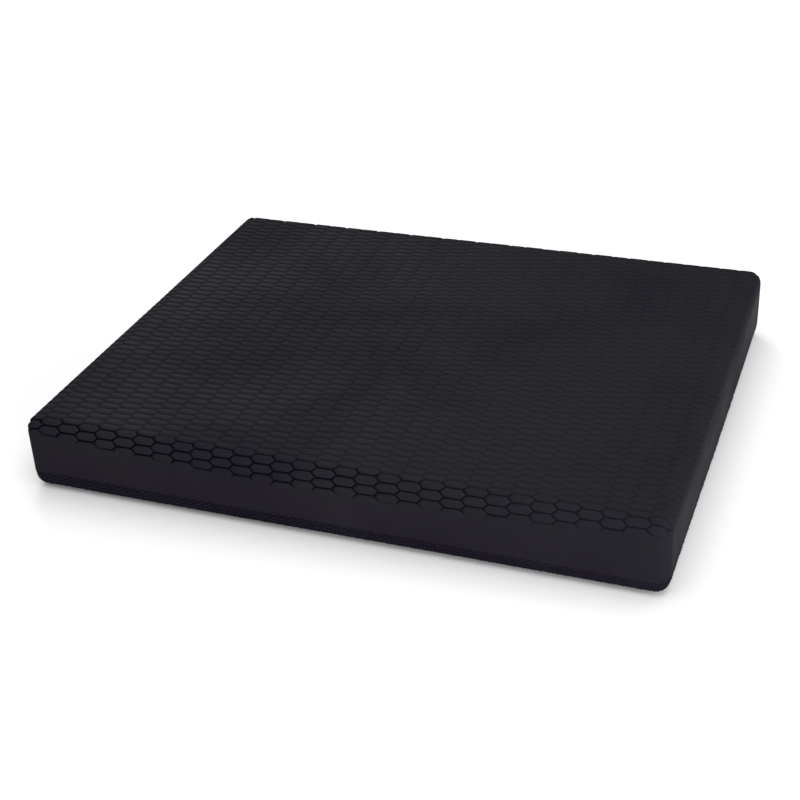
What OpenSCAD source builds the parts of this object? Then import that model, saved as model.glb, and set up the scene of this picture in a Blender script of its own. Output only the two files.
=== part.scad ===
// Foam balance pad: a flat rectangular block of closed-cell foam for standing and kneeling
// exercises. Three foam sheets are bonded into a block, and the block is sealed in a skin
// that is pressed on under heat. The top skin is embossed and wraps over the upper edge, the
// bottom skin wraps round the lower edge, and a smooth band joins the two round the sides.
//
// Millimetres. The origin is the centre of the flat underside, +X runs along the long side
// and +Z is up. Under load the top skin sinks towards the floor and everything between it
// and the bottom skin is compressed.

/* [Pad] */
// Length of the long side
pad_length = 500; // [300:5:600]
// Length of the short side
pad_width = 410; // [250:5:600]
// Thickness of the unloaded pad
pad_height = 60; // [60:1:90]
// Rounding of every outer edge and corner
edge_r = 10.5; // [8:0.5:14]

/* [Skin] */
// Thickness of the pressed skins
skin_t = 2.5; // [1.5:0.1:3]
// How far the embossed top skin comes down the sides, from the top face
top_lip = 22; // [16:1:24]
// How far the bottom skin comes up the sides, from the floor
bottom_lip = 16; // [15:1:18]
// Space between the sides of the foam and the skins round it
bond_gap = 0.3; // [0.2:0.05:0.5]

/* [Foam] */
// How much lighter each foam sheet is drawn than the one below it
sheet_shade = 0.03; // [0:0.01:0.1]

/* [Hidden] */

textured_colour = [0.17, 0.17, 0.19];
smooth_colour = [0.14, 0.13, 0.15];
foam_colour = [0.22, 0.22, 0.23];

sheets = 3;
block_height = pad_height - 2 * skin_t;
sheet_t = block_height / sheets;
lip_top_z = pad_height - top_lip;
arc_step = 11.25;
facets = 32;
over = 1;

// Half section of an upright post of height h and radius r, with round ends of radius r.
function post_section(h, r) = concat(
    [for (a = [-90:arc_step:0]) [r * cos(a), r + r * sin(a)]],
    [for (a = [0:arc_step:90]) [r * cos(a), h - r + r * sin(a)]]
);

// Slab of height h standing on z = 0, inset from the sides of the pad, with every edge and
// corner rounded by r.
module rounded_slab(inset, h, r) {
    reach_x = pad_length / 2 - inset - r;
    reach_y = pad_width / 2 - inset - r;
    hull()
        for (x = [-reach_x, reach_x], y = [-reach_y, reach_y])
            translate([x, y, 0])
                rotate_extrude($fn = facets)
                    polygon(post_section(h, r));
}

// Space inside the skins.
module skin_cavity() {
    translate([0, 0, skin_t])
        rounded_slab(skin_t, block_height, edge_r - skin_t);
}

// The foam block before it is divided into sheets. Its edges are rounder than the cavity's,
// so that only its flat faces meet the skins.
module foam_block() {
    translate([0, 0, skin_t])
        rounded_slab(skin_t + bond_gap, block_height, edge_r);
}

// Everything between two heights, wider than the pad.
module height_band(z0, z1) {
    translate([-pad_length / 2 - over, -pad_width / 2 - over, z0])
        cube([pad_length + 2 * over, pad_width + 2 * over, z1 - z0]);
}

// The part of the skin between two heights.
module skin_between(z0, z1) {
    intersection() {
        difference() {
            rounded_slab(0, pad_height, edge_r);
            skin_cavity();
        }
        height_band(z0, z1);
    }
}

// One bonded sheet of the foam block, counted from 0 at the bottom.
module foam_sheet(index) {
    color(foam_colour + sheet_shade * index * [1, 1, 1])
        intersection() {
            foam_block();
            height_band(skin_t + index * sheet_t, skin_t + (index + 1) * sheet_t);
        }
}

module top_skin() {
    color(textured_colour) skin_between(lip_top_z, pad_height + over);
}

module side_skin() {
    color(smooth_colour) skin_between(bottom_lip, lip_top_z);
}

module bottom_skin() {
    color(textured_colour) skin_between(-over, bottom_lip);
}

module upper_foam_layer() {
    foam_sheet(2);
}

module middle_foam_layer() {
    foam_sheet(1);
}

module lower_foam_layer() {
    foam_sheet(0);
}

top_skin();
side_skin();
bottom_skin();
upper_foam_layer();
middle_foam_layer();
lower_foam_layer();
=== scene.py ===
import math

import bmesh
import bpy
import numpy as np
from mathutils import Matrix, Vector


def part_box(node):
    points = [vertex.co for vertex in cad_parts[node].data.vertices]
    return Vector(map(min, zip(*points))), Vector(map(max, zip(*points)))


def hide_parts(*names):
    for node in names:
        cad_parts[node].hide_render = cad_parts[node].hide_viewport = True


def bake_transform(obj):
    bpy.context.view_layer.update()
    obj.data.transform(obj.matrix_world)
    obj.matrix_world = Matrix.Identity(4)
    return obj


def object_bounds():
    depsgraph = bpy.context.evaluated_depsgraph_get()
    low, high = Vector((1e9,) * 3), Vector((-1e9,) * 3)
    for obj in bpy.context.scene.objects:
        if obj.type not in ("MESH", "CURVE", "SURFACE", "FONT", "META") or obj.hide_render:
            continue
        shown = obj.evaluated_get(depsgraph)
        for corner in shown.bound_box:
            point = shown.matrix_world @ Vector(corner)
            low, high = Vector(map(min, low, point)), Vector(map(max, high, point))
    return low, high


# A foam balance pad: a block of foam sheets between an embossed top skin and an anti-slip
# bottom skin, with a smooth band round its sides.
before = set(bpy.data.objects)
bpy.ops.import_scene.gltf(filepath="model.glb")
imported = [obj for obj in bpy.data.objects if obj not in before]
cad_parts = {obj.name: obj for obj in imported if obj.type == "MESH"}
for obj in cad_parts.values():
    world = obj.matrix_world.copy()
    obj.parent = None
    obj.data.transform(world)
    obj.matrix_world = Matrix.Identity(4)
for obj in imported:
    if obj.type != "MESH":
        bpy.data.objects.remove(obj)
cad_low, cad_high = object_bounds()

# ---------------------------------------------------------------- sizes, in metres
LENGTH, WIDTH, HEIGHT = cad_high - cad_low
# The radius of the edges, the skins' thickness and the bond are those of the CAD part.
EDGE_R = 0.0105
SKIN_T = 0.0025
BOND_GAP = 0.0003
FLAT_X = LENGTH / 2 - EDGE_R
FLAT_Y = WIDTH / 2 - EDGE_R
QUARTER_ARC = EDGE_R * math.pi / 2
TOP_LIP_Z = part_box("top_skin")[0].z
BOTTOM_LIP_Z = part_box("bottom_skin")[1].z
TOP_REACH = QUARTER_ARC + HEIGHT - EDGE_R - TOP_LIP_Z
BOTTOM_REACH = QUARTER_ARC + BOTTOM_LIP_Z - EDGE_R
# Points closer than this are one point.
MERGE = 1e-6

# Honeycomb of the top skin. The cells' flats run along X and the columns interlock. The sheet
# lies on the block slightly askew.
COLUMN_PITCH = 0.01618
CELL_H = 0.00813
ASKEW = math.radians(0.62)
LATTICE_START = np.array([-0.0025, -0.0007, 0.0])
FLAT_HALF = 0.00605
TIP_HALF = COLUMN_PITCH - FLAT_HALF
# Rings of a cell, from the groove to the crown: the inset from the cell's outline, the height
# over the skin's nominal surface, and how far the ring's corners are pulled in.
CELL_RINGS = (
    (0.0, -0.00130, 0.0),
    (0.00042, -0.00110, 0.0),
    (0.00095, -0.00040, 0.00012),
    (0.0020, 0.0, 0.00034),
)
# Cells near and beyond the edge of the flat face have one ring more.
EXTRA_RING = ((0.0029, 0.0, 0.0004),)
# A ring's third number times these is how far its tips are pulled in, and how far its corners
# are pulled in along the flats.
TIP_PULL, CORNER_PULL = 1.4, 0.35
GROOVE_DEPTH = -CELL_RINGS[0][1]
# The depths of a cell's inner rings vary at random from cell to cell, by up to this share.
CELL_JITTER = 0.15
# The grooves are shallower on top than over the front and back edges, where the skin is
# stretched across the flats and opens them.
TOP_DEPTH = 0.62
# The share by which the embossing gets shallower from the middle to the +X end, and deeper to
# the -X end: the honeycomb's on top, the honeycomb's over the front and back edges, and the
# lozenges' over the sides.
TOP_LEAN, EDGE_LEAN, LOZENGES_LEAN = 0.07, 0.25, 0.10
# How far beyond the flat face the honeycomb reaches, at the middle of a side and at its ends,
# and the distance over which it fades out.
HONEYCOMB_MID, HONEYCOMB_END, HONEYCOMB_FADE = 0.0278, 0.0180, 0.0045

# Pointed lozenges of the bottom skin, whose sheet lies slightly askew too.
LOZENGE_X, LOZENGE_Y, LOZENGE_DEPTH = 0.0062, 0.0034, 0.00075
LOZENGES_ASKEW = math.radians(0.35)
# How far beyond the flat face they reach, and the distance over which they fade out.
LOZENGES_REACH, LOZENGES_FADE = 0.0219, 0.0020
# How far the lozenges' crowns rise or sink where they wrap over the sides.
CROWN_SPREAD = 0.0003
# Near the rim the lozenges fade once more, and are level with the side band there.
RIM_FADE = 0.0012
# Seeds of the random depths.
CELL_SEED, LOZENGE_SEED = 7, 11

# The sides bulge by up to this much, at half height, and waver. A waver is its height, its
# wavelength over two pi, and its phase.
SIDE_BULGE = 0.0007
WAVER_X = (0.00012, 0.047, 1.3)
WAVER_Y = (0.00018, 0.061, 0.4)
# Unevenness of the top: its scale, how far it is lowered in that scale, and the distance from
# the edge of the flat face over which it dies out. Its waves along X and Y are given as above,
# and the slanting wave by its wavelengths along X and Y over two pi.
UNEVEN, UNEVEN_DROP, UNEVEN_FADE = 0.00016, 1.6, 0.03
UNEVEN_X, UNEVEN_Y, UNEVEN_SLANT = (1, 0.058, 0.7), (1, 0.049, 2.1), (0.11, 0.09)

# Mesh fineness.
CORNER_CUTS = 12
SIDE_STEP, SIDE_ROWS = 0.006, 9
FOAM_STEP, FOAM_ROWS = 0.012, 25
# How much of the foam sheets' sawn edges is cut away.
FOAM_BEVEL = 0.0006
# An edge where the surface turns by more than this many degrees looks sharp.
RIM_CREASE = 50

# Texture scales, in features per metre.
CLOUD_SCALE, SPECKLE_SCALE, PEEL_SCALE, GRAIN_SCALE, FOAM_CELL_SCALE = 9, 70, 320, 1500, 900

# The point attribute that tells the materials where the grooves are, which they darken with
# painted shade, and where the crowns are, which the anti-slip skin lightens with a painted
# highlight: 1 at the bottom of a full groove, 0 on the nominal surface, and negative on a raised
# crown.
GROOVE = "groove"
# The attribute is the share of the full depth raised to this power.
GROOVE_POWER = 1.5
# The ranges of the attribute over which the painted shade of the grooves and the painted highlight
# of the crowns come in.
GROOVE_SHADE_RANGE, LOZENGE_SHADE_RANGE, CROWN_HIGHLIGHT_RANGE = (0.25, 0.85), (0.42, 1.0), (0, -0.15)
# The ranges of a noise texture's values that are spread out.
NOISE_INNER, NOISE_OUTER = (0.35, 0.65), (0.3, 0.7)
# How much speckles on the skins and clouds on the foam change the tone at most.
SPECKLE_SHARE, CLOUD_SHARE = 0.25, 0.5
SKIN_ROUGHNESS, FOAM_ROUGHNESS = (0.62, 0.5), (0.75, 0.95)
SKIN_SPECULAR, FOAM_SPECULAR = 0.008, 0.2
# Bumps: distance in metres and strength.
PEEL_BUMP, GRAIN_BUMP, PIT_BUMP = (0.0002, 0.35), (0.00008, 0.5), (0.0004, 0.7)
# How far the foam's pits reach from their centres, as a share of a cell.
PIT_RADIUS = 0.6

# The floor's half width, and how far it lies below the pad, so that the two don't coincide.
FLOOR_HALF, FLOOR_DROP = 6, 0.0004
FLOOR_TONE, FLOOR_ROUGHNESS = 0.93, 0.9
WORLD_STRENGTH = 0.37
# Name, place, the point it shines at, size, power in watts, colour.
LIGHTS = (
    ("overhead", (0.1, 0.0, 2.8), (0, 0, 0), (4.4, 3.6), 77, (1, 1, 1)),
    ("back_left", (-1.25, 1.8, 0.95), (0, 0, 0), (1.0, 0.7), 17.5, (1, 1, 1)),
    ("front_fill", (1.2, -1.4, 0.42), (0.1, -0.1, 0), (1.0, 0.4), 17.5, (1, 0.95, 0.99)),
    ("right_fill", (1.7, -0.5, 0.8), (0.2, 0, 0), (0.8, 0.5), 7.5, (0.96, 1, 1)),
)
# The camera's azimuth, elevation and roll in degrees, its distance from the point it looks
# at, and its sensor width and focal length in millimetres.
CAMERA_TURNS = (21.52, 30.29, -2.92)
CAMERA_DISTANCE = 1.2012
CAMERA_TARGET = (0.00099, -0.04895, HEIGHT / 2)
CAMERA_SENSOR, CAMERA_LENS = 36, 67.14


# ---------------------------------------------------------------- shape helpers
def smoothstep(x):
    x = np.clip(x, 0, 1)
    return x * x * (3 - 2 * x)


def wave(place, height, length, phase):
    return height * np.sin(place / length + phase)


def beyond_flat(u, v):
    """How far unrolled points lie beyond the flat face, with their feet and directions."""
    foot_u, foot_v = np.clip(u, -FLAT_X, FLAT_X), np.clip(v, -FLAT_Y, FLAT_Y)
    du, dv = u - foot_u, v - foot_v
    reach = np.hypot(du, dv)
    safe = np.where(reach > 0, reach, 1)
    return reach, foot_u, foot_v, du / safe, dv / safe


def wrap(points, top):
    """Wraps unrolled skin points over the rounded edge. Each point is (u, v, lift): two
    distances along the skin from the middle of the face, and a height over its surface."""
    u, v, lift = np.asarray(points, float).T
    reach, foot_u, foot_v, out_u, out_v = beyond_flat(u, v)
    angle = np.minimum(reach, QUARTER_ARC) / EDGE_R
    out = (EDGE_R + lift) * np.sin(angle)
    drop = EDGE_R - (EDGE_R + lift) * np.cos(angle) + np.maximum(reach - QUARTER_ARC, 0)
    z = HEIGHT - drop if top else drop
    return np.stack([foot_u + out_u * out, foot_v + out_v * out, z], axis=1)


def settle(points):
    """The soft block's sides bulge a little and waver. Every piece is moved by the same
    field, so that they stay in contact."""
    x, y, z = points.T
    side_x, side_y = x / (LENGTH / 2), y / (WIDTH / 2)
    bulge = SIDE_BULGE * np.sin(math.pi * z / HEIGHT)
    dx = bulge * side_x * (1 - side_y**2) + wave(y, *WAVER_X)
    dy = bulge * side_y * (1 - side_x**2) + wave(x, *WAVER_Y)
    return points + np.stack([dx, dy, np.zeros_like(z)], axis=1)


def undulation(u, v):
    """Slow unevenness of the top face, which dies out at its edge."""
    slanting = np.sin(u / UNEVEN_SLANT[0] - v / UNEVEN_SLANT[1])
    waves = wave(u, *UNEVEN_X) * wave(v, *UNEVEN_Y) + slanting
    inside = np.minimum(FLAT_X - np.abs(u), FLAT_Y - np.abs(v))
    return UNEVEN * (waves - UNEVEN_DROP) * smoothstep(inside / UNEVEN_FADE)


def link_mesh(name, bm):
    """Makes an object of the scene from a bmesh."""
    mesh = bpy.data.meshes.new(name)
    bm.to_mesh(mesh)
    bm.free()
    piece = bpy.data.objects.new(name, mesh)
    bpy.context.scene.collection.objects.link(piece)
    return piece


def mesh_from(points, faces):
    bm = bmesh.new()
    verts = [bm.verts.new(p) for p in points]
    for face in faces:
        bm.faces.new([verts[i] for i in face])
    return bm


def shade(bm, crease_degrees):
    """Outward normals, smooth faces, and sharp edges where the surface turns steeply."""
    bmesh.ops.recalc_face_normals(bm, faces=bm.faces)
    limit = math.radians(crease_degrees)
    for face in bm.faces:
        face.smooth = True
    for edge in bm.edges:
        edge.smooth = not edge.is_manifold or edge.calc_face_angle(0) < limit


# ---------------------------------------------------------------- skins
def cell_ring(inset, pull, flat_steps):
    """One ring of a honeycomb cell, anticlockwise from its right tip."""
    slant = math.hypot(TIP_HALF - FLAT_HALF, CELL_H / 2)
    normal_x, normal_y = CELL_H / 2 / slant, (TIP_HALF - FLAT_HALF) / slant
    tip, half = TIP_HALF - inset / normal_x, CELL_H / 2 - inset
    corner = tip - half * normal_y / normal_x
    upper = [(tip - TIP_PULL * pull, 0), ((tip + corner) / 2, half / 2)]
    ends = corner - CORNER_PULL * pull
    for k in range(flat_steps + 1):
        rounding = pull if k in (0, flat_steps) else 0
        upper.append((ends * (1 - 2 * k / flat_steps), half - rounding))
    upper += [(-(tip + corner) / 2, half / 2), (TIP_PULL * pull - tip, 0)]
    return upper + [(x, -y) for x, y in upper[-2:0:-1]]


def cell_template(rings, flat_steps):
    """Points (x, y, height) and faces of one honeycomb cell."""
    points = [(x, y, h) for inset, h, pull in rings for x, y in cell_ring(inset, pull, flat_steps)]
    count = len(points) // len(rings)
    faces = []
    for low in range(0, count * (len(rings) - 1), count):
        for k in range(count):
            n = (k + 1) % count
            faces.append((low + k, low + n, low + count + n, low + count + k))
    crown = len(points) - count
    for k in range(count // 2):
        ring = [k, k + 1, count - k - 1, (count - k) % count]
        faces.append([crown + i for i in dict.fromkeys(ring)])
    return np.array(points), faces


def honeycomb_limit(v, foot_u, foot_v):
    """How far beyond the flat face the honeycomb reaches: least at the corners."""
    along = np.where(np.abs(v) > FLAT_Y, np.abs(foot_u) / FLAT_X, np.abs(foot_v) / FLAT_Y)
    return HONEYCOMB_MID + (HONEYCOMB_END - HONEYCOMB_MID) * along**2


def turned(angle):
    """The matrix that turns rows of unrolled points by an angle."""
    along, across = math.cos(angle), math.sin(angle)
    return np.array([(along, across, 0), (-across, along, 0), (0, 0, 1)])


def honeycomb_sheet():
    """The unrolled top skin, as interlocking cells whose grooves fade out down the sides."""
    columns = math.ceil((FLAT_X + TOP_REACH) / COLUMN_PITCH)
    rows = math.ceil((FLAT_Y + TOP_REACH) / CELL_H)
    turn = turned(ASKEW)
    rng = np.random.default_rng(CELL_SEED)
    points, faces, total = [], [], 0
    for column in range(-columns, columns + 1):
        by_end = abs(column) * COLUMN_PITCH > FLAT_X - COLUMN_PITCH
        flat_steps = 4 if by_end else 2
        plain = cell_template(CELL_RINGS[:1], flat_steps)
        embossed = cell_template(CELL_RINGS, flat_steps)
        curved = cell_template(CELL_RINGS + EXTRA_RING, flat_steps)
        for row in range(-rows, rows + 1):
            lattice = (column * COLUMN_PITCH, (row + 0.5 * (column % 2)) * CELL_H, 0)
            centre_u, centre_v, _ = lattice @ turn + LATTICE_START
            reach, foot_u, foot_v, _, _ = beyond_flat(centre_u, centre_v)
            if reach > honeycomb_limit(centre_v, foot_u, foot_v) + TIP_HALF:
                shape, cell_faces = plain
            elif by_end or abs(centre_v) > FLAT_Y - CELL_H:
                shape, cell_faces = curved
            else:
                shape, cell_faces = embossed
            cell = shape @ turn + (centre_u, centre_v, 0)
            inner = shape[:, 2] > CELL_RINGS[0][1]
            cell[inner, 2] *= rng.uniform(1 - CELL_JITTER, 1 + CELL_JITTER)
            points.append(cell)
            faces += [[total + i for i in face] for face in cell_faces]
            total += len(cell)
    points = np.concatenate(points)
    u, v, _ = points.T
    reach, foot_u, foot_v, _, _ = beyond_flat(u, v)
    limit = honeycomb_limit(v, foot_u, foot_v)
    points[:, 2] *= 1 - smoothstep((reach - limit) / HONEYCOMB_FADE + 1)
    opened = smoothstep((np.abs(v) - FLAT_Y) / CELL_H + 0.5)
    points[:, 2] *= TOP_DEPTH + (1 - TOP_DEPTH) * opened
    lean = TOP_LEAN + (EDGE_LEAN - TOP_LEAN) * opened
    points[:, 2] *= 1 - lean * foot_u / FLAT_X
    return points, faces


def lozenge_sheet():
    """The unrolled bottom skin, as rows of small pointed lozenges."""
    half_x, half_y = LOZENGE_X / 2, LOZENGE_Y / 2
    outline = [(half_x, 0), (0, half_y), (-half_x, 0), (0, -half_y)]
    shape = np.array([(x, y, -LOZENGE_DEPTH) for x, y in outline] + [(0, 0, 0)])
    sides = [(k, (k + 1) % 4, 4) for k in range(4)]
    columns = math.ceil((FLAT_X + BOTTOM_REACH) / LOZENGE_X) + 1
    rows = math.ceil((FLAT_Y + BOTTOM_REACH) / half_y) + 2
    centres = [
        ((column + 0.5 * (row % 2)) * LOZENGE_X, row * half_y, 0)
        for row in range(-rows, rows + 1)
        for column in range(-columns - 1, columns + 1)
    ]
    points = (np.array(centres)[:, None, :] + shape[None]).reshape(-1, 3)
    crowns = points[len(shape) - 1::len(shape)]
    over_side = smoothstep(beyond_flat(crowns[:, 0], crowns[:, 1])[0] / QUARTER_ARC)
    rises = np.random.default_rng(LOZENGE_SEED).uniform(-1, 1, len(crowns))
    crowns[:, 2] += CROWN_SPREAD * over_side * rises
    faces = [[len(shape) * n + i for i in side] for n in range(len(centres)) for side in sides]
    for angle, limit, fade in ((0, LOZENGES_REACH, LOZENGES_FADE),
                               (LOZENGES_ASKEW, BOTTOM_REACH, RIM_FADE)):
        points = points @ turned(angle)
        reach, foot_u, _, _, _ = beyond_flat(points[:, 0], points[:, 1])
        points[:, 2] *= 1 - smoothstep((reach - limit) / fade + 1)
    lean = LOZENGES_LEAN * smoothstep(reach / QUARTER_ARC)
    points[:, 2] *= 1 - lean * foot_u / FLAT_X
    return points, faces


def trim(bm, reach):
    """Cuts an unrolled sheet to the round-cornered outline that lies reach beyond the flat
    face."""
    near_x, near_y = FLAT_X - TIP_HALF, FLAT_Y - TIP_HALF
    for step in range(4 * CORNER_CUTS):
        angle = step * math.pi / 2 / CORNER_CUTS
        normal = Vector((math.cos(angle), math.sin(angle), 0))
        place = Vector((math.copysign(FLAT_X, normal.x), math.copysign(FLAT_Y, normal.y), 0))
        verts = bm.verts[:]
        if step % CORNER_CUTS:
            side_x, side_y = math.copysign(1, normal.x), math.copysign(1, normal.y)
            verts = [v for v in verts if v.co.x * side_x > near_x and v.co.y * side_y > near_y]
        edges = {e for v in verts for e in v.link_edges}
        faces = {f for v in verts for f in v.link_faces}
        bmesh.ops.bisect_plane(
            bm,
            geom=[*verts, *edges, *faces],
            dist=MERGE,
            plane_co=place + normal * reach,
            plane_no=normal,
            clear_outer=True,
        )
    loose = [v for v in bm.verts if not v.link_faces]
    bmesh.ops.delete(bm, geom=loose, context="VERTS")


def line_skin(bm, reach):
    """Gives the unrolled sheet its rim and its inner side, which make it a closed solid."""
    rim = sorted({v for e in bm.edges if e.is_boundary for v in e.verts},
                 key=lambda v: math.atan2(v.co.y, v.co.x))
    u, v = np.array([vert.co.xy for vert in rim]).T
    _, foot_u, foot_v, out_u, out_v = beyond_flat(u, v)
    levels = [reach, QUARTER_ARC, QUARTER_ARC * 2 / 3, QUARTER_ARC / 3, 0]
    last = rim
    for level in levels:
        places = zip(foot_u + out_u * level, foot_v + out_v * level)
        ring = [bm.verts.new((a, b, -SKIN_T)) for a, b in places]
        for k in range(len(ring)):
            n = (k + 1) % len(ring)
            bm.faces.new((last[k], last[n], ring[n], ring[k]))
        last = ring
    bmesh.ops.remove_doubles(bm, verts=last, dist=MERGE)
    inside = [e for e in bm.edges if e.is_boundary]
    bmesh.ops.contextual_create(bm, geom=inside)


def skin(name, sheet, full_depth, reach, top):
    """One textured skin: a trimmed sheet with thickness, wrapped round the block."""
    points, faces = sheet
    bm = mesh_from(points, faces)
    bmesh.ops.remove_doubles(bm, verts=bm.verts, dist=MERGE)
    trim(bm, reach)
    line_skin(bm, reach)
    bm.verts.ensure_lookup_table()
    flat = np.array([v.co for v in bm.verts])
    depth = -flat[:, 2]
    outer = depth < SKIN_T - MERGE
    share = np.clip(depth / full_depth, -1, 1)
    groove = np.where(outer, np.sign(share) * np.abs(share) ** GROOVE_POWER, 0)
    if top:
        flat[outer, 2] += undulation(flat[outer, 0], flat[outer, 1])
    for vert, place in zip(bm.verts, settle(wrap(flat, top))):
        vert.co = place
    shade(bm, RIM_CREASE)
    piece = link_mesh(name, bm)
    attribute = piece.data.attributes.new(GROOVE, "FLOAT", "POINT")
    attribute.data.foreach_set("value", groove.astype(np.float32))
    return piece


def perimeter(step):
    """Feet and outward directions of points round the block's outline, anticlockwise."""
    feet, ways = [], []
    corners = [(FLAT_X, FLAT_Y), (-FLAT_X, FLAT_Y), (-FLAT_X, -FLAT_Y), (FLAT_X, -FLAT_Y)]
    for n, (x, y) in enumerate(corners):
        turn = np.linspace(n, n + 1, CORNER_CUTS + 1) * math.pi / 2
        feet += [(x, y)] * len(turn)
        ways += [(math.cos(a), math.sin(a)) for a in turn]
        next_x, next_y = corners[(n + 1) % 4]
        count = round(math.dist((x, y), (next_x, next_y)) / step)
        for k in range(1, count):
            feet.append((x + (next_x - x) * k / count, y + (next_y - y) * k / count))
            ways.append(ways[-1])
    return np.array(feet), np.array(ways)


def ring_solid(rows, closed):
    """Faces over rows of points round the outline. The rows join up into a ring, or the first
    and last are closed by flat faces."""
    count = len(rows[0])
    faces = []
    for r in range(len(rows) if closed else len(rows) - 1):
        low, high = r * count, (r + 1) % len(rows) * count
        faces += [(low + k, low + (k + 1) % count, high + (k + 1) % count, high + k)
                  for k in range(count)]
    if not closed:
        start = count * (len(rows) - 1)
        faces += [list(range(count))[::-1], list(range(start, start + count))]
    return mesh_from(np.concatenate(rows), faces)


def side_band():
    """The smooth band between the two textured skins."""
    feet, ways = perimeter(SIDE_STEP)
    heights = np.linspace(BOTTOM_LIP_Z, TOP_LIP_Z, SIDE_ROWS)
    profile = [(0, z) for z in heights] + [(-SKIN_T, z) for z in heights[::-1]]
    rows = []
    for lift, z in profile:
        reach = QUARTER_ARC + HEIGHT - EDGE_R - z
        unrolled = np.column_stack([feet + ways * reach, np.full(len(feet), lift)])
        rows.append(settle(wrap(unrolled, True)))
    bm = ring_solid(rows, True)
    shade(bm, RIM_CREASE)
    return link_mesh("side_band", bm)


def foam_sheet(name, node):
    """One sheet of the foam block. Its outer edges are round where it meets the skins, and its
    sawn edges are nearly sharp."""
    low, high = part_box(node)
    feet, ways = perimeter(FOAM_STEP)
    inset = SKIN_T + BOND_GAP
    floor_z, roof_z = SKIN_T, HEIGHT - SKIN_T
    profile = []
    for z in np.linspace(low.z, high.z, FOAM_ROWS):
        nearest = np.clip(min(z - floor_z, roof_z - z), 0, EDGE_R)
        sawn = min(z - low.z, high.z - z, FOAM_BEVEL)
        rounding = EDGE_R - math.sqrt(EDGE_R**2 - (EDGE_R - nearest) ** 2)
        profile.append((-inset - rounding - (FOAM_BEVEL - sawn), z))
    rows = []
    for out, z in profile:
        places = feet + ways * (EDGE_R + out)
        rows.append(settle(np.column_stack([places, np.full(len(feet), z)])))
    bm = ring_solid(rows, False)
    shade(bm, RIM_CREASE)
    return link_mesh(name, bm)


# ---------------------------------------------------------------- materials
class Nodes:
    """A material's node tree, with short ways to add what the materials here share."""

    def __init__(self, name):
        self.material = bpy.data.materials.new(name)
        self.material.use_nodes = True
        self.tree = self.material.node_tree
        self.shader = self.tree.nodes["Principled BSDF"]
        self.place = self.add("ShaderNodeTexCoord").outputs["Object"]

    def add(self, kind, **settings):
        node = self.tree.nodes.new(kind)
        for key, value in settings.items():
            setattr(node, key, value)
        return node

    def link(self, source, target):
        self.tree.links.new(source, target)

    def noise(self, scale, detail=2.0, distortion=0.0):
        node = self.add("ShaderNodeTexNoise")
        node.inputs["Scale"].default_value = scale
        node.inputs["Detail"].default_value = detail
        node.inputs["Distortion"].default_value = distortion
        self.link(self.place, node.inputs["Vector"])
        return node.outputs["Fac"]

    def spread(self, source, low, high, out_low, out_high):
        """Maps a value's usual range from low to high onto another range."""
        node = self.add("ShaderNodeMapRange")
        limits = {"From Min": low, "From Max": high, "To Min": out_low, "To Max": out_high}
        for key, value in limits.items():
            node.inputs[key].default_value = value
        self.link(source, node.inputs["Value"])
        return node.outputs["Result"]

    def mix(self, share, first, second):
        """Blends two colours, each a value or the output of a node, by the output share."""
        node = self.add("ShaderNodeMix", data_type="RGBA")
        self.link(share, node.inputs["Factor"])
        for socket, value in ((node.inputs["A"], first), (node.inputs["B"], second)):
            if isinstance(value, tuple):
                socket.default_value = (*value, 1)
            else:
                self.link(value, socket)
        return node.outputs["Result"]

    def bump(self, height, distance, strength, under=None):
        node = self.add("ShaderNodeBump")
        node.inputs["Distance"].default_value = distance
        node.inputs["Strength"].default_value = strength
        self.link(height, node.inputs["Height"])
        if under is not None:
            self.link(under, node.inputs["Normal"])
        return node.outputs["Normal"]

    def attribute(self, name):
        return self.add("ShaderNodeAttribute", attribute_name=name).outputs["Fac"]


def pressed_skin(name, light, dark, painted_groove_shade, groove_shade_range=GROOVE_SHADE_RANGE, crown=None):
    """Matt heat-pressed elastomer: cloudy tone, a fine grain, painted shade that darkens the
    grooves and, where a crown colour is given, a painted highlight that lightens the crowns."""
    n = Nodes(name)
    clouds = n.spread(n.noise(CLOUD_SCALE, detail=3, distortion=0.4), *NOISE_INNER, 0, 1)
    tone = n.mix(clouds, dark, light)
    speckle = n.spread(n.noise(SPECKLE_SCALE, detail=2), *NOISE_OUTER, 0, SPECKLE_SHARE)
    tone = n.mix(speckle, tone, light)
    groove = n.attribute(GROOVE)
    if crown is not None:
        # The raised crowns are lightened towards the crown colour: a painted highlight.
        tone = n.mix(n.spread(groove, *CROWN_HIGHLIGHT_RANGE, 0, 1), tone, crown)
    # Towards the bottom of the grooves the tone is darkened to the groove colour: painted shade.
    tone = n.mix(n.spread(groove, *groove_shade_range, 0, 1), tone, painted_groove_shade)
    n.link(tone, n.shader.inputs["Base Color"])
    n.link(n.spread(clouds, 0, 1, *SKIN_ROUGHNESS), n.shader.inputs["Roughness"])
    peel = n.bump(n.noise(PEEL_SCALE, detail=1), *PEEL_BUMP)
    grain = n.bump(n.noise(GRAIN_SCALE, detail=3), *GRAIN_BUMP, peel)
    n.link(grain, n.shader.inputs["Normal"])
    n.shader.inputs["Specular IOR Level"].default_value = SKIN_SPECULAR
    return n.material


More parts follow.
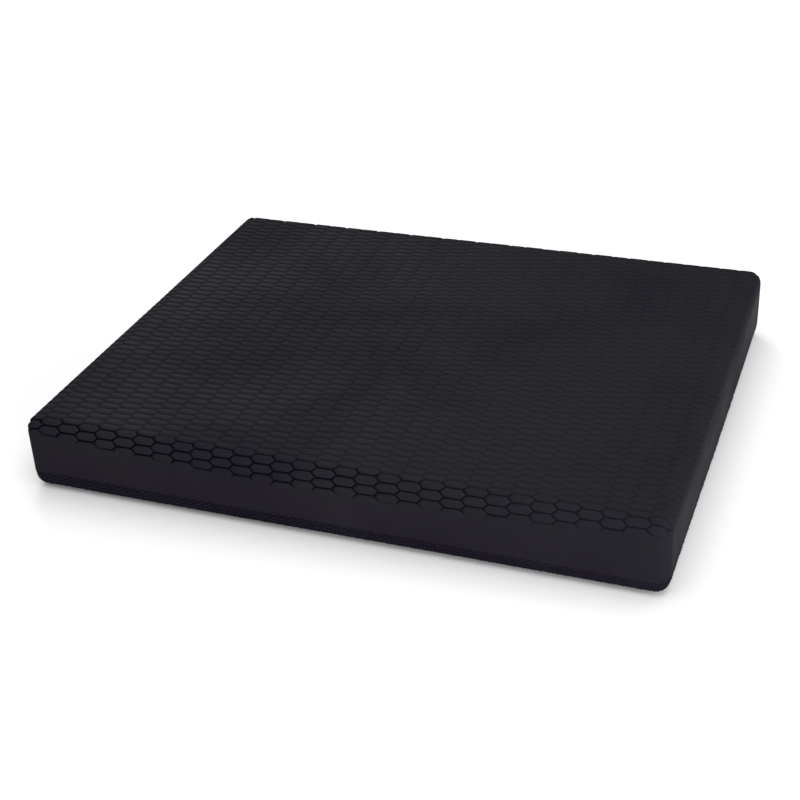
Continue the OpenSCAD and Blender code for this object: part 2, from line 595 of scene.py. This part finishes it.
def cut_foam(name, light, dark):
    """Closed-cell foam where it has been cut: a dense scatter of tiny open cells, darkened inside
    with painted shade.
    """
    n = Nodes(name)
    cells = n.add("ShaderNodeTexVoronoi")
    cells.inputs["Scale"].default_value = FOAM_CELL_SCALE
    n.link(n.place, cells.inputs["Vector"])
    pits = n.spread(cells.outputs["Distance"], 0, PIT_RADIUS, 0, 1)
    # The pits are darker than the foam between them: painted shade inside the open cells.
    tone = n.mix(pits, dark, light)
    clouds = n.spread(n.noise(CLOUD_SCALE, detail=3), *NOISE_OUTER, 0, CLOUD_SHARE)
    n.link(n.mix(clouds, tone, dark), n.shader.inputs["Base Color"])
    n.link(n.bump(pits, *PIT_BUMP), n.shader.inputs["Normal"])
    rough = n.spread(n.noise(SPECKLE_SCALE, detail=2), *NOISE_OUTER, *FOAM_ROUGHNESS)
    n.link(rough, n.shader.inputs["Roughness"])
    n.shader.inputs["Specular IOR Level"].default_value = FOAM_SPECULAR
    return n.material


# Each skin's groove colour is painted shade for the bottoms of its grooves.
embossed_skin = pressed_skin(
    "embossed_skin",
    light=(0.0162, 0.0159, 0.0195),
    dark=(0.0133, 0.0119, 0.0164),
    painted_groove_shade=(0.0032, 0.0024, 0.0056),
)
smooth_skin = pressed_skin(
    "smooth_skin",
    light=(0.0162, 0.0151, 0.0194),
    dark=(0.0134, 0.0117, 0.0166),
    painted_groove_shade=(0.0032, 0.0024, 0.0056),
)
anti_slip_skin = pressed_skin(
    "anti_slip_skin",
    light=(0.0166, 0.0150, 0.0198),
    dark=(0.0134, 0.0115, 0.0172),
    painted_groove_shade=(0.0038, 0.0025, 0.0098),
    groove_shade_range=LOZENGE_SHADE_RANGE,
    # The crown colour is a painted highlight on the lozenges' crowns.
    crown=(0.0300, 0.0265, 0.0390),
)
foam_black = cut_foam("foam_black", light=(0.040, 0.040, 0.043), dark=(0.018, 0.018, 0.020))


# ---------------------------------------------------------------- pieces
def stand_in(piece, node, material):
    """Shows piece in place of a CAD node, with its material, and bakes its placement into its
    mesh."""
    piece.data.materials.append(material)
    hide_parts(node)
    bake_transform(piece)


embossed_top = skin("embossed_top", honeycomb_sheet(), GROOVE_DEPTH, TOP_REACH, True)
stand_in(embossed_top, "top_skin", embossed_skin)
stand_in(side_band(), "side_skin", smooth_skin)
underside = skin("anti_slip_underside", lozenge_sheet(), LOZENGE_DEPTH, BOTTOM_REACH, False)
stand_in(underside, "bottom_skin", anti_slip_skin)
for level in ("upper", "middle", "lower"):
    node = level + "_foam_layer"
    stand_in(foam_sheet(level + "_foam", node), node, foam_black)


# ---------------------------------------------------------------- stage
def stage_floor():
    bm = bmesh.new()
    bmesh.ops.create_grid(bm, x_segments=1, y_segments=1, size=FLOOR_HALF)
    floor = link_mesh("floor", bm)
    floor.location.z = -FLOOR_DROP
    mat = bpy.data.materials.new("floor_white")
    mat.use_nodes = True
    shader = mat.node_tree.nodes["Principled BSDF"]
    shader.inputs["Base Color"].default_value = (FLOOR_TONE, FLOOR_TONE, FLOOR_TONE, 1)
    shader.inputs["Roughness"].default_value = FLOOR_ROUGHNESS
    floor.data.materials.append(mat)


def area_light(name, place, target, size, power, colour):
    lamp = bpy.data.lights.new(name, "AREA")
    lamp.shape = "RECTANGLE"
    lamp.size, lamp.size_y = size
    lamp.energy = power
    lamp.color = colour
    light = bpy.data.objects.new(name, lamp)
    light.location = place
    aim = Vector(target) - Vector(place)
    light.rotation_euler = aim.to_track_quat("-Z", "Y").to_euler()
    bpy.context.scene.collection.objects.link(light)


def camera():
    """The camera stands in front and to the right of the pad, about 1.2 m away."""
    azimuth, elevation, roll = map(math.radians, CAMERA_TURNS)
    back = Vector((math.sin(azimuth) * math.cos(elevation),
                   -math.cos(azimuth) * math.cos(elevation),
                   math.sin(elevation)))
    right = Vector((0, 0, 1)).cross(back).normalized()
    up = back.cross(right)
    tilted_right = right * math.cos(roll) + up * math.sin(roll)
    tilted_up = up * math.cos(roll) - right * math.sin(roll)
    turn = Matrix((tilted_right, tilted_up, back)).transposed()
    data = bpy.data.cameras.new("camera")
    data.sensor_width = CAMERA_SENSOR
    data.lens = CAMERA_LENS
    eye = bpy.data.objects.new("camera", data)
    place = Vector(CAMERA_TARGET) + back * CAMERA_DISTANCE
    eye.matrix_world = Matrix.LocRotScale(place, turn, None)
    bpy.context.scene.collection.objects.link(eye)
    bpy.context.scene.camera = eye


def world_light(strength):
    world = bpy.data.worlds.new("studio")
    world.use_nodes = True
    background = world.node_tree.nodes["Background"]
    background.inputs["Color"].default_value = (1, 1, 1, 1)
    background.inputs["Strength"].default_value = strength
    bpy.context.scene.world = world


stage_floor()
world_light(WORLD_STRENGTH)
for light in LIGHTS:
    area_light(*light)
camera()
bpy.context.scene.view_settings.view_transform = "Standard"
